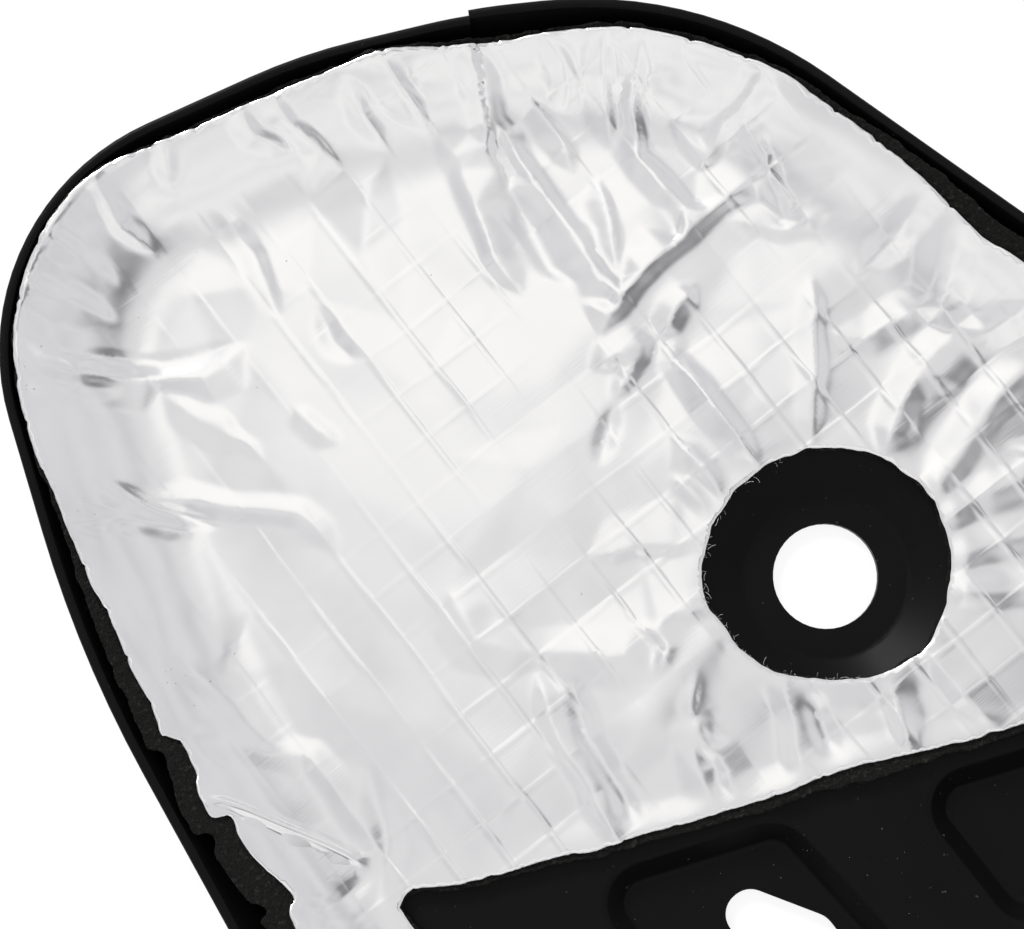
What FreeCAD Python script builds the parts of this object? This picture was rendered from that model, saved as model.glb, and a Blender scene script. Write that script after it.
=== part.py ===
import FreeCAD, Part
import math
import os

V = FreeCAD.Vector

# Moulded tray, millimetres and degrees
WALL = 2.0
RIM_HEIGHT = 14.0
RIM_DRAFT = 14.0
MARGIN_RADIUS = 16.5
LIP_RADIUS = 0.85
LENGTH_BELOW = 112.0
CORNER_RADIUS = 46.0
JOGGLE = 1.3
JOGGLE_AT = (12.0, 136.7)
JOGGLE_TURN = 28.6

# Dish round the bolt hole
BOLT_RADIUS = 11.0
SEAT_RADIUS = 17.5
DISH_RADIUS = 26.0
DISH_DEPTH = 5.0
BEND_RADIUS = 2.0

# Pockets beside the raised rib, and the window in the left one
POCKET_RUN = 4.5
POCKET_CORNER = 9.0
RIB_LEFT = -37.5
RIB_RIGHT = -15.5
POCKET_CLEAR = 29.0
POCKET_SHORT = 20.5
POCKET_LONG = 40.5
WINDOW_LEFT = -60.8
WINDOW_RIGHT = -43.6
WINDOW_TOP = -39.9
WINDOW_CLEAR = 12.0
WINDOW_CORNER = 4.8

# Foam pad and its foil
FOAM = 2.5
FOIL = 0.3
BOND = 0.1
FOAM_SHOWING = 2.2
PAD_BELOW_LIP = 1.2
PAD_LEAN = 50.0
PAD_RADIUS = 40.0
PAD_SIDE = 3.6
CUTOUT_RADIUS = 24.6
CUTOUT_OFFSET = (1.0, 1.8)
LEG_LEFT = -128.0
LEG_RIGHT = -111.5
LEG_END = -46.0
PLEAT_RADIUS = 2.4
PLEAT_START = (-127.0, 41.0)
PLEAT_END = (-112.5, 14.5)

# Levels: the underside of the dish is the mounting plane
FLOOR = WALL + DISH_DEPTH
LIP = FLOOR + RIM_HEIGHT
ABOVE = LIP + WALL

# Lower ends of the pockets and of the window
POCKET_END = POCKET_CLEAR - LENGTH_BELOW
WINDOW_END = POCKET_END + WINDOW_CLEAR

# Run of the straight sides of the rim for each millimetre further down
RIGHT_SIDE = 65.4 / 223.4
LEFT_SIDE = 27.8 / 191.9

# Edge of the foil: x, y and corner radius
FOIL_CORNERS = [
    (89.0, -80.0, 6.0),
    (54.5, 98.6, 30.0),
    (-6.0, 142.5, 30.0),
    (-97.6, 166.3, 42.0),
    (-125.0, 68.0, 60.0),
    (LEG_LEFT, LEG_END, 4.0),
    (LEG_RIGHT, LEG_END, 4.0),
    (LEG_RIGHT, 4.5, 3.0),
    (-66.0, -20.0, 60.0),
]

# Raised creases of the foil: crest points x, y, then crest height and half width
CREASES = [
    ([(-69, 162), (-70, 152), (-73, 140), (-70, 129)], 1.3, 3.4),
    ([(-51, 158), (-55, 152), (-59, 146)], 1.1, 3.0),
    ([(-38, 154), (-36, 146), (-37, 137)], 1.2, 3.0),
    ([(-52, 139), (-55, 123), (-52, 115)], 0.7, 3.5),
    ([(-7, 147), (-8, 135), (-9, 123)], 1.3, 3.2),
    ([(10, 136), (5, 124), (-1, 113), (-4, 103)], 1.4, 3.0),
    ([(11, 127), (4, 117), (3, 107), (2, 89), (0, 72)], 1.3, 3.2),
    ([(-6, 122), (-8, 114), (-14, 95), (-14, 84)], 0.9, 3.0),
    ([(23, 127), (22, 118), (12, 106)], 1.1, 3.0),
    ([(40, 114), (30, 104), (24, 95), (23, 79)], 1.1, 3.0),
    ([(14, 94), (9, 84), (4, 75)], 0.8, 3.0),
    ([(0, 71), (13, 74), (24, 73), (34, 74), (42, 75)], 1.6, 3.6),
    ([(33, 82), (33, 88), (32, 94)], 0.9, 2.6),
    ([(59, 92), (44, 86), (43, 76), (38, 64)], 1.3, 3.2),
    ([(47, 49), (57, 48), (66, 51)], 1.2, 3.0),
    ([(51, 30), (59, 38), (70, 47)], 1.2, 3.2),
    ([(36, 43), (44, 38), (53, 32)], 1.0, 2.8),
    ([(1, 60), (-15, 57), (-30, 57)], 0.8, 3.4),
    ([(27, 41), (20, 32), (14, 23)], 1.3, 2.8),
    ([(22, 26), (32, 36), (41, 33), (48, 33)], 1.3, 3.0),
    ([(30, 12), (42, 18), (52, 20), (61, 18)], 1.4, 3.2),
    ([(25, 1), (37, 3), (50, 7), (62, 9)], 1.4, 3.2),
    ([(23, -3), (33, -4), (42, -7)], 1.2, 2.8),
    ([(20, -11), (29, -15), (40, -20)], 1.2, 2.8),
    ([(2, 54), (3, 40), (3, 26)], 1.1, 2.8),
    ([(-8, 41), (-7, 33), (-7, 24)], 1.0, 2.6),
    ([(-19, -11), (-25, -19), (-30, -31)], 1.2, 2.8),
    ([(-2, -22), (-6, -30), (-9, -41)], 1.1, 2.8),
    ([(5, -23), (8, -34), (9, -46)], 1.2, 2.8),
    ([(-108, 141), (-94, 129), (-85, 119), (-74, 111), (-66, 110)], 1.3, 3.2),
    ([(-120, 104), (-108, 95), (-100, 87), (-92, 84)], 1.2, 3.0),
    ([(-99, 100), (-90, 91), (-78, 78), (-75, 66)], 0.7, 3.4),
    ([(-118, 66), (-114, 53), (-111, 43)], 0.9, 2.8),
    ([(-69, 35), (-62, 28), (-51, 19), (-37, 8)], 1.1, 2.8),
    ([(-67, 28), (-62, 21), (-53, 13), (-43, 6)], 1.0, 2.6),
    ([(-65, 17), (-66, 7), (-67, -3), (-70, -17)], 1.2, 3.0),
    ([(-107, 27), (-107, 17), (-106, 9)], 0.9, 2.6),
    ([(40, 62), (47, 63), (55, 60)], 0.8, 2.8),
    ([(45, -2), (57, -12), (72, -18)], 1.0, 3.0),
    ([(34, -28), (50, -36), (64, -50)], 1.0, 3.0),
]


def rounded(corners, inset, z):
    """Closed wire through rounded corners, moved inwards by inset."""
    count = len(corners)
    along = []
    for i in range(count):
        x0, y0, _ = corners[i]
        x1, y1, _ = corners[(i + 1) % count]
        along.append(V(x1 - x0, y1 - y0, 0).normalize())
    starts, middles, ends = [], [], []
    for i in range(count):
        x, y, radius = corners[i]
        before, after = along[i - 1], along[i]
        turn = math.atan2(before.x * after.y - before.y * after.x, before.dot(after))
        inner = V(-before.y - after.y, before.x + after.x, 0) / (1 + before.dot(after))
        corner = V(x, y, z) + inner * inset
        radius = max(radius - inset * math.copysign(1, turn), 0.2)
        half = abs(turn) / 2
        reach = radius * math.tan(half)
        towards = (after - before).normalize()
        starts.append(corner - before * reach)
        middles.append(corner + towards * radius * (1 / math.cos(half) - 1))
        ends.append(corner + after * reach)
    edges = []
    for i in range(count):
        edges.append(Part.Arc(starts[i], middles[i], ends[i]).toShape())
        edges.append(Part.makeLine(ends[i], starts[(i + 1) % count]))
    return Part.Wire(edges)


def prism(corners, inset, low, high):
    return Part.Face(rounded(corners, inset, low)).extrude(V(0, 0, high - low))


def rim(step):
    """Corners of the rim seen from the foil side, its right shoulder moved out by step."""
    return [
        (52.6 + RIGHT_SIDE * (111.4 + LENGTH_BELOW), -LENGTH_BELOW, CORNER_RADIUS),
        (52.6 + 0.80 * step, 111.4 + 0.75 * step, 85.0),
        (11.0 + 0.54 * step, 137.2 + 0.84 * step, 120.0),
        (-20.5, 151.3, 120.0),
        (-97.9, 169.2, 51.0),
        (-131.2, 79.9, 250.0),
        (-131.2 - LEFT_SIDE * (79.9 + LENGTH_BELOW), -LENGTH_BELOW, CORNER_RADIUS),
    ]


def bowl(corners, low, top, side, lean, radius):
    """Space inside a rim: flat at low, a leaning side that stands side inside the rim at the lip."""
    spread = math.tan(math.radians(lean))
    at_low = rounded(corners, side + (LIP - low) * spread, low)
    at_top = rounded(corners, side + (LIP - top) * spread, top)
    solid = Part.makeLoft([at_low, at_top], True, True)
    foot = [e for e in solid.Edges if e.BoundBox.ZMax < low + 0.01]
    return solid.makeFillet(radius, foot)


def moulded(corners, depth, top):
    """Space whose surface lies depth above the moulded face."""
    side = (WALL + depth) / math.cos(math.radians(RIM_DRAFT))
    return bowl(corners, FLOOR + depth, top, side, RIM_DRAFT, MARGIN_RADIUS - depth)


def faced(corners, depth, top):
    """Space whose surface lies depth below the face of the foil, which spans the tray's margin."""
    side = PAD_SIDE - depth / math.cos(math.radians(PAD_LEAN))
    return bowl(corners, FLOOR + FOAM + FOIL - depth, top, side, PAD_LEAN, PAD_RADIUS + depth)


def joggled(make):
    """The rim left of the joggle and the stepped-out rim right of it, as one."""
    reach = 500.0
    right = Part.makeBox(reach, 2 * reach, 4 * reach, V(0, -reach, -reach))
    right.rotate(V(0, 0, 0), V(0, 0, 1), -JOGGLE_TURN)
    right.translate(V(JOGGLE_AT[0], JOGGLE_AT[1], 0))
    left_half = make(rim(0)).cut(right)
    right_half = make(rim(JOGGLE)).common(right)
    return left_half.fuse(right_half).removeSplitter()


def cavity(space, depth):
    return joggled(lambda corners: space(corners, depth, ABOVE))


def tray(corners):
    shell = moulded(corners, -WALL, LIP).cut(moulded(corners, 0, ABOVE))
    lip = [e for e in shell.Edges if e.BoundBox.ZMin > LIP - 0.01]
    return shell.makeFillet(LIP_RADIUS, lip)


def dish(depth):
    slope = math.atan2(DISH_DEPTH, DISH_RADIUS - SEAT_RADIUS)
    spread = -depth * math.tan(slope / 2)
    return Part.makeCone(SEAT_RADIUS + spread, DISH_RADIUS + spread, DISH_DEPTH, V(0, 0, WALL + depth))


def pocket(corners, depth):
    slope = math.atan2(DISH_DEPTH, POCKET_RUN)
    spread = -depth * math.tan(slope / 2)
    low = rounded(corners, POCKET_RUN - spread, WALL + depth)
    high = rounded(corners, -spread, FLOOR + depth)
    return Part.makeLoft([low, high], True, True)


def pockets(depth):
    """The pockets left and right of the raised rib."""
    left = [
        (RIB_LEFT + 4.0, POCKET_END, POCKET_CORNER),
        (RIB_LEFT, -33.0, POCKET_CORNER),
        (-80.0, -17.0, POCKET_CORNER),
        (-80.0, POCKET_END, POCKET_CORNER),
    ]
    right = [
        (36.0, POCKET_END, POCKET_CORNER),
        (36.0, POCKET_END + POCKET_SHORT, POCKET_CORNER),
        (RIB_RIGHT, POCKET_END + POCKET_LONG, POCKET_CORNER),
        (RIB_RIGHT, POCKET_END, POCKET_CORNER),
    ]
    return [pocket(left, depth), pocket(right, depth)]


def window():
    slant = WINDOW_TOP - 15.1
    corners = [
        (WINDOW_RIGHT, WINDOW_END, WINDOW_CORNER),
        (WINDOW_RIGHT, slant, 6.0),
        (WINDOW_RIGHT - 9.2, WINDOW_TOP, WINDOW_CORNER),
        (WINDOW_LEFT, WINDOW_TOP, WINDOW_CORNER),
        (WINDOW_LEFT, WINDOW_END, WINDOW_CORNER),
    ]
    return prism(corners, 0, -1, FLOOR + 1)


def bends(solid):
    """Edges where the floor turns down into the dish and the pockets."""
    found = []
    for edge in solid.Edges:
        box = edge.BoundBox
        flat = box.ZMax - box.ZMin < 0.01
        inside = box.XMin > -100 and box.XMax < 60 and box.YMax < 60 and box.YMin > POCKET_END - POCKET_CORNER
        level = min(abs(box.ZMin - z) for z in (0, WALL, FLOOR - WALL, FLOOR))
        if flat and inside and level < 0.01:
            found.append(edge)
    return found


def moulded_shell():
    shell = joggled(tray)
    shell = shell.fuse([dish(-WALL)] + pockets(-WALL)).cut([dish(0)] + pockets(0))
    shell = shell.removeSplitter()
    shell = shell.makeFillet(BEND_RADIUS, bends(shell))
    hole = Part.makeCylinder(BOLT_RADIUS, 3 * WALL, V(0, 0, -WALL))
    return shell.cut([hole, window()])


def cutout(extra):
    """Hand-cut opening of the pad round the dish, slightly scalloped."""
    count = 10
    corners = []
    for i in range(count):
        angle = 2 * math.pi * i / count
        reach = (CUTOUT_RADIUS + extra) * (1.055 + 0.02 * (-1) ** i)
        x = CUTOUT_OFFSET[0] + reach * math.cos(angle)
        y = CUTOUT_OFFSET[1] + reach * math.sin(angle)
        corners.append((x, y, 9.0))
    return prism(corners, 0, -1, LIP)


def foam_pad():
    layer = cavity(moulded, 0).cut(cavity(faced, FOIL + BOND))
    edge = prism(FOIL_CORNERS, -FOAM_SHOWING, 0, LIP - PAD_BELOW_LIP)
    return layer.common(edge).cut(cutout(0.4))


def ground(space, x, y):
    """Height of the foil's face over a point."""
    ray = space.common(Part.makeLine(V(x, y, 0), V(x, y, ABOVE)))
    return ray.BoundBox.ZMin if ray.Edges else LIP


def crease(space, points, height, half):
    """Pinched fold of foil: a tent of flat facets along its crest points."""
    rings = []
    last = len(points) - 1
    for i, (x, y) in enumerate(points):
        before = points[max(i - 1, 0)]
        after = points[min(i + 1, last)]
        run = V(after[0] - before[0], after[1] - before[1], 0).normalize()
        across = V(-run.y, run.x, 0)
        at = V(x, y, ground(space, x, y))
        if i in (0, last):
            rings.append([at - V(0, 0, FOIL / 2)])
        else:
            sunk = at - V(0, 0, 1.0)
            rings.append([sunk - across * half, at + V(0, 0, height), sunk + across * half])
    faces = []
    for one, two in zip(rings, rings[1:]):
        for k in range(3):
            a, b = one[k % len(one)], one[(k + 1) % len(one)]
            c, d = two[k % len(two)], two[(k + 1) % len(two)]
            for trio in ((a, b, d), (a, d, c)):
                if len({tuple(p) for p in trio}) == 3:
                    faces.append(Part.Face(Part.makePolygon(list(trio) + [trio[0]])))
    solid = Part.Solid(Part.Shell(faces))
    solid.fix(1e-4, 1e-4, 1e-3)
    return solid


def pleat(space):
    """Rolled fold where the leg leaves the pad."""
    start = V(*PLEAT_START, 0)
    end = V(*PLEAT_END, 0)
    start.z = ground(space, start.x, start.y)
    end.z = ground(space, end.x, end.y)
    run = end - start
    roll = Part.makeCone(0.6 * PLEAT_RADIUS, PLEAT_RADIUS, run.Length, start, run)
    return roll


def foil_facing():
    below = cavity(faced, FOIL)
    above = cavity(faced, 0)
    edge = prism(FOIL_CORNERS, 0, 0, LIP - PAD_BELOW_LIP)
    room = below.common(edge).cut(cutout(0))
    folds = [crease(above, *row) for row in CREASES] + [pleat(above)]
    sheet = room.cut(above)
    return sheet.fuse([f.common(room) for f in folds])


def save(name, shape):
    shape.exportStep("parts/" + name + ".step")


os.makedirs("parts", exist_ok=True)
save("moulded_shell", moulded_shell())
save("foam_pad", foam_pad())
save("foil_facing", foil_facing())
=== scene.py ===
import math

import bpy
import numpy as np
from mathutils import Matrix, Vector
from mathutils.bvhtree import BVHTree
from mathutils.geometry import delaunay_2d_cdt
from mathutils.kdtree import KDTree


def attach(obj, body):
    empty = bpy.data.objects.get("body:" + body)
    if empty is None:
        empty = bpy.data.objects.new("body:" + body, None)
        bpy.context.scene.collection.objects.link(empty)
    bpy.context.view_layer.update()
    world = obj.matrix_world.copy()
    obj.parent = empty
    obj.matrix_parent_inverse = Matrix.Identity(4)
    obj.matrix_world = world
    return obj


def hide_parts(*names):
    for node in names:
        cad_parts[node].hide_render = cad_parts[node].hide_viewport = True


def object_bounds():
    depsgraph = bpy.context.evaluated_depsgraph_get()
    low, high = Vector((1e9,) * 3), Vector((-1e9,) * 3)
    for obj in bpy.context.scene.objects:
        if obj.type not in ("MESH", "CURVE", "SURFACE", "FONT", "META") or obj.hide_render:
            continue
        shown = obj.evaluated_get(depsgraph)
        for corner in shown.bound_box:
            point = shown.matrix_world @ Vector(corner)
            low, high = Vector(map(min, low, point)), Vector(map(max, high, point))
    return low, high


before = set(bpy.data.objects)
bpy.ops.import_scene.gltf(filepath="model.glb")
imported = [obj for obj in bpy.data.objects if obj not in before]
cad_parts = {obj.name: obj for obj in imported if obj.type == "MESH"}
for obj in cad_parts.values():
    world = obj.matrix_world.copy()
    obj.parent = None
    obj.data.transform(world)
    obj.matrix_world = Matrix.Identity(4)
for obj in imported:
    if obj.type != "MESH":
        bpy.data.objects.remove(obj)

bl_info = {
    "name": "Heat shield",
    "version": (1, 0, 0),
    "blender": (4, 5, 0),
    "location": "View3D > Sidebar > Heat shield",
    "description": "Foil, foam and moulded plastic of an engine-bay heat shield",
    "category": "Object",
}

SOLID_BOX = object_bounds()
MM = 0.001
SEED = 7

# Tray form, millimetres: the same values as the solids
LIP = 21.0
FLOOR = 7.0
WALL = 2.0
DRAFT = math.radians(14.0)
MARGIN_RADIUS = 16.5
RIM = [
    (118.0, -112.0, 46.0, 0.0, 0.0),
    (52.6, 111.4, 85.0, 0.80, 0.75),
    (11.0, 137.2, 120.0, 0.54, 0.84),
    (-20.5, 151.3, 120.0, 0.0, 0.0),
    (-97.9, 169.2, 51.0, 0.0, 0.0),
    (-131.2, 79.9, 250.0, 0.0, 0.0),
    (-159.0, -112.0, 46.0, 0.0, 0.0),
]
JOGGLE = 1.3
JOGGLE_AT = (12.0, 136.7)
JOGGLE_TURN = math.radians(-28.6)

# Pad: foam and foil thickness, and the foil's own margin, which spans the corner of the tray
FOAM = 2.5
FOIL = 0.3
PAD_LEAN = math.radians(50.0)
PAD_RADIUS = 40.0
PAD_SIDE = 3.6
BELOW_LIP = 0.4

# Edge of the foil: x, y and the width of foam that shows beyond it
FOIL_EDGE = [
    (89.0, -79.0, 2.0), (84.5, -52.0, 3.0), (79.0, -26.0, 3.5), (74.5, 2.0, 3.5), (70.2, 26.1, 3.6),
    (67.2, 35.4, 4.0), (65.4, 46.9, 3.4), (63.4, 58.2, 2.4), (60.9, 68.5, 1.6), (58.1, 78.3, 1.2),
    (55.2, 87.9, 0.9), (51.0, 95.6, 0.9), (46.2, 102.8, 0.9), (41.0, 109.5, 1.0), (35.1, 115.4, 1.0),
    (28.4, 120.2, 1.1), (21.3, 124.6, 1.1), (13.9, 128.5, 1.2), (6.7, 132.8, 1.0), (-0.2, 137.3, 0.8),
    (-7.2, 141.7, 0.7), (-15.6, 144.2, 0.7), (-24.2, 146.6, 0.8), (-32.8, 148.9, 0.8), (-41.5, 151.0, 0.7),
    (-50.1, 153.1, 0.6), (-58.6, 155.4, 0.5), (-67.5, 157.3, 0.3), (-75.8, 157.2, 0.2), (-82.6, 154.9, 0.2),
    (-88.8, 151.8, 0.2), (-94.5, 148.0, 0.2), (-99.0, 144.0, 0.2), (-103.1, 139.4, 0.3), (-106.4, 134.3, 0.3),
    (-109.1, 128.7, 0.4), (-111.5, 122.8, 0.4), (-113.7, 116.9, 0.5), (-115.1, 110.3, 0.8), (-116.8, 103.9, 1.2),
    (-118.5, 97.7, 1.6), (-120.2, 91.4, 2.2), (-121.2, 84.6, 2.8), (-122.7, 78.1, 3.2), (-124.4, 71.7, 3.4),
    (-125.4, 64.9, 3.6), (-126.7, 60.3, 3.6), (-127.4, 57.3, 3.8), (-125.6, 55.0, 4.6), (-125.7, 51.7, 5.0),
    (-127.0, 47.2, 4.8), (-128.8, 43.6, 4.6), (-129.4, 38.6, 4.8), (-127.0, 36.4, 6.0), (-127.7, 32.4, 5.8),
    (-128.0, 26.6, 6.0), (-126.8, 19.0, 7.0), (-126.7, 15.3, 7.4), (-129.1, 13.5, 5.6), (-130.0, 4.0, 5.0),
    (-129.0, -20.0, 3.0), (-128.0, -45.5, 1.5), (-111.5, -45.5, 1.2), (-111.8, -20.0, 0.8), (-111.4, -1.3, 0.6),
    (-110.5, 1.1, 0.6), (-107.0, 1.9, 0.9), (-98.8, -3.1, 1.1), (-89.6, -7.0, 1.3), (-80.1, -10.8, 1.6),
    (-71.3, -15.4, 1.4), (-64.2, -17.6, 2.0), (-55.4, -21.4, 2.2), (-46.0, -25.0, 2.4), (-37.0, -28.6, 2.4),
    (-30.0, -30.6, 2.6), (-22.9, -32.9, 3.4), (-16.7, -35.7, 3.6), (-10.4, -38.6, 2.8), (-4.5, -41.3, 2.2),
    (1.5, -44.2, 2.0), (11.2, -47.9, 1.8), (36.0, -58.0, 1.8), (64.0, -69.0, 1.8),
]

# Hand-cut opening of the pad round the dish
CUTOUT = [
    (21.0, -13.5), (23.4, -9.7), (24.9, -5.5), (26.3, -1.3), (26.1, 3.1), (25.1, 7.4), (23.9, 11.5), (21.6, 15.1),
    (18.8, 18.3), (15.4, 20.8), (12.1, 23.3), (8.1, 24.5), (4.2, 25.7), (0.0, 25.6), (-4.2, 25.8), (-8.2, 24.5),
    (-12.4, 23.2), (-15.9, 20.7), (-19.5, 18.0), (-22.4, 14.5), (-24.0, 10.3), (-23.8, 5.8), (-24.3, 1.5),
    (-23.8, -2.7), (-22.4, -6.8), (-20.1, -10.3), (-17.3, -13.5), (-14.3, -16.3), (-11.0, -18.9), (-7.3, -21.3),
    (-3.1, -23.0), (1.4, -23.6), (6.1, -24.0), (10.4, -21.9), (14.5, -19.8), (17.8, -16.6),
]

# Sharp creases of the foil: crest points, height, and runs of the left and right flanks along the way of travel
FOLDS = [
    # Darts and gathers under the rim of the rounded end
    ([(-69, 162), (-70, 155), (-72, 147), (-69, 137)], 0.9, 3.5, 2.0),
    ([(-51, 158), (-55, 152), (-59, 146)], 0.7, 3.0, 3.0),
    ([(-100, 157), (-92, 144), (-84, 131)], 0.8, 3.0, 4.5),
    ([(-87, 163), (-83, 149), (-79, 137)], 0.7, 2.6, 4.0),
    ([(-30, 152), (-31, 142), (-27, 129)], 0.8, 2.2, 5.0),
    ([(-38, 154), (-38, 144), (-33, 137)], 0.8, 2.4, 4.0),
    ([(-7, 147), (-8, 135), (-9, 123)], 1.0, 3.0, 5.0),
    ([(-16, 143), (-17, 135), (-18, 126)], 0.7, 2.4, 4.0),
    ([(10, 136), (5, 124), (-1, 113), (-4, 103)], 1.1, 2.2, 4.5),
    ([(11, 130), (4, 117), (3, 107), (2, 89), (0, 72)], 0.9, 2.6, 5.0),
    ([(-6, 122), (-8, 114), (-14, 95), (-14, 84)], 0.7, 5.0, 3.0),
    ([(33, 119), (25, 107), (19, 97)], 0.8, 2.6, 4.5),
    ([(23, 127), (22, 116), (17, 109)], 0.8, 2.4, 4.0),
    ([(12, 117), (12, 105), (10, 98)], 0.6, 2.4, 4.0),
    # Crumpled side
    ([(38, 112), (28, 102), (23, 93), (24, 79), (19, 75)], 0.9, 2.6, 5.0),
    ([(14, 96), (9, 84), (4, 75)], 0.6, 2.0, 4.0),
    ([(-8, 68), (1, 72), (20, 74.5), (45, 76)], 1.0, 7.0, 3.6),
    ([(33, 95), (33, 83.5), (38, 86), (47, 90)], 0.7, 2.6, 2.6),
    ([(57, 91), (44, 86), (44, 76), (41, 72), (38, 63)], 0.9, 3.2, 3.2),
    ([(29, 72), (36.6, 62.6), (48, 59)], 0.6, 4.6, 3.4),
    ([(-13, 64), (-1.5, 61.5), (2, 60)], 0.8, 5.0, 3.0),
    ([(2, 61), (3, 47), (3, 26)], 0.9, 3.0, 5.0),
    ([(2, 60), (-5, 59), (-14, 56)], 0.6, 2.4, 4.0),
    ([(2, 60), (10, 63), (16, 64.5)], 0.9, 4.0, 3.4),
    ([(36, 52), (33, 46), (23, 34), (13, 22)], 0.6, 2.4, 4.0),
    ([(71, 51), (55, 47), (43, 45.5)], 0.55, 4.2, 4.0),
    ([(30, 35), (39, 34), (46, 32), (53, 32.5), (67, 47)], 0.95, 5.4, 4.4),
    ([(70, 43.5), (53, 28.5), (53.5, 23.6), (43, 22), (34, 19), (23, 12.5)], 0.95, 4.6, 4.8),
    ([(38, 16), (51, 19.5), (70, 18)], 0.8, 4.0, 5.0),
    ([(-8, 43), (-7, 33), (-7, 23)], 0.7, 2.6, 4.0),
    ([(-13, 37), (-12, 30), (-11, 22)], 0.6, 2.0, 3.0),
    # Tucks between the cut-out and the straight edge
    ([(-38, 33), (-27.6, 28.5), (-12, 18)], 0.5, 8.0, 2.4),
    ([(-38, 17), (-33, 14.5), (-16, 6.5)], 0.5, 9.0, 2.4),
    ([(-14, 2), (-28, -24), (-35, -48)], 0.8, 6.0, 3.6),
    ([(4, -10), (-7, -31), (-15, -54)], 0.8, 5.0, 3.0),
    ([(5, -8), (6, -35), (9, -62)], 0.8, 5.4, 3.4),
    ([(-33, 2), (-40, -4), (-46, -38)], 0.6, 5.4, 2.6),
    ([(-35, -2), (-43, -8), (-54, -38)], 0.4, 3.6, 5.0),
    ([(-60, 22), (-65, 9), (-66, -4), (-72, -34)], 0.7, 5.0, 2.4),
    # Soft folds of the quiet side
    ([(-64, 46), (-65.5, 34), (-60, 26), (-47, 16.5), (-40, 8)], 0.55, 5.5, 7.0),
    ([(-42, 5.5), (-35.5, 9), (-36, 16)], 0.6, 2.0, 2.6),
    ([(-106, 141), (-97, 128.5), (-86, 118), (-76.5, 111.5), (-66, 112)], 0.8, 4.4, 7.0),
    ([(-104, 145), (-97, 132), (-81, 119), (-67, 113)], -0.35, 1.6, 1.6),
    ([(-86, 115), (-83, 105), (-79, 94)], 0.35, 2.4, 5.0),
    ([(-79, 106), (-79, 99), (-78, 90)], 0.3, 1.6, 4.0),
    ([(-66, 96), (-65, 90), (-63, 83)], 0.3, 1.6, 4.0),
    ([(-128, 111), (-118, 104.6), (-110, 99.5), (-104, 94), (-98, 86)], 0.5, 3.2, 2.8),
    ([(-100, 100), (-89, 86.5), (-78, 76.5), (-77, 65)], 0.5, 3.4, 3.6),
    ([(-117, 70), (-113, 55), (-113, 43)], -0.3, 2.0, 3.0),
    ([(-125, 56), (-114, 44), (-107, 36), (-107, 24), (-107, 11)], 0.42, 3.6, 4.4),
]
# Soft ripples of the foil, given in the same way
RIPPLES = [
    ([(-112, 138), (-101, 127), (-92, 120)], -0.6, 4.0, 4.0),
    ([(-53, 139), (-53, 126), (-57, 112)], -0.5, 2.4, 4.5),
    ([(-49, 109), (-51, 101), (-50, 95)], -0.4, 2.4, 4.0),
    ([(-2, 104), (-4, 97), (-6, 86), (-4, 80)], -0.6, 4.0, 4.0),
    ([(-13, 55), (-20, 50), (-24, 47)], -0.5, 3.0, 3.0),
    ([(14, 2), (35, 10), (44, 12), (66, 15)], -0.5, 5.0, 5.5),
    ([(12, -2), (37, 3), (46.5, 7), (74, 9)], 0.62, 5.5, 4.6),
    ([(12, -4), (33, -6), (43, -9), (68, -8)], 0.58, 5.0, 4.6),
    ([(10, -8), (29, -15), (38, -19), (64, -26)], 0.62, 5.4, 4.4),
    ([(8, -12), (28, -26), (52, -40)], 0.58, 5.4, 4.4),
    ([(45, -2), (57, -14), (75, -20)], 0.8, 4.0, 3.0),
    ([(34, -30), (50, -40), (70, -54)], 0.9, 4.0, 3.0),
    ([(-10, 0), (-21, -23), (-26, -50)], -0.5, 3.4, 3.8),
    ([(-55, 16), (-60, 4), (-61.5, -8), (-68, -36)], -0.5, 3.2, 3.6),
    ([(-107, 109), (-102, 97.5), (-93, 85)], -0.5, 2.0, 3.4),
    ([(-99, 28), (-105, 12), (-114, 4)], -0.3, 4.0, 4.0),
    ([(-134, 15), (-121, 9.5), (-110, 10)], -0.35, 2.0, 3.6),
]
# Rolled fold where the leg leaves the pad
PLEAT = [(-131, 43), (-126.9, 40.5), (-123.5, 34.7), (-120.2, 28.5), (-116, 21.2), (-112, 13)]
PLEAT_HEIGHT = 1.0
PLEAT_ABOVE = 1.7
PLEAT_BELOW = 1.2
PLEAT_ROWS = (-2.4, -1.8, -1.25, -0.85, -0.42, 0.0, 0.42, 0.85, 1.3, 1.75, 2.4)
PLEAT_CLEAR = 2.75

# Threads under the foil, and the rows of mesh points beside each of them
SCRIM_AT = (3.0, 4.3)
SCRIM_PITCH = 10.0
SCRIM_TICKS = (0, 0.3, 0.65, 1.4, 2.3, 3.2, 4.1, 5.0, 5.9, 6.8, 7.7, 8.6, 9.35, 9.7)

# Loose corners of the crease net and of the broad facets
LOOSE_SPACING = 14.0
LOOSE_CLEAR = 6.0
FACET_SPACING = 24.0

# Meshes: spacing along the cut edges, steps of the fine and coarse points, rows of corners down the foam's edge
EDGE_SPACING = 0.7
CUTOUT_SPACING = 0.6
FOAM_FINE = 0.62
FOAM_COARSE = 5.0
FOIL_BACK = 4.0
FOAM_ROWS = 4

# Dust on the pad: middle, width and count of each patch
DUST_PATCHES = [
    ((-96, 145), 9, 16), ((-104, 131), 8, 14), ((-112, 104), 3, 6), ((-118, 62), 6, 8), ((-60, 100), 60, 26),
]

# Raster of the foil's relief: step, first corner and count of points
FIELD_STEP = 0.5
FIELD_LOW = (-136.0, -86.0)
FIELD_SIZE = (464, 500)

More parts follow.
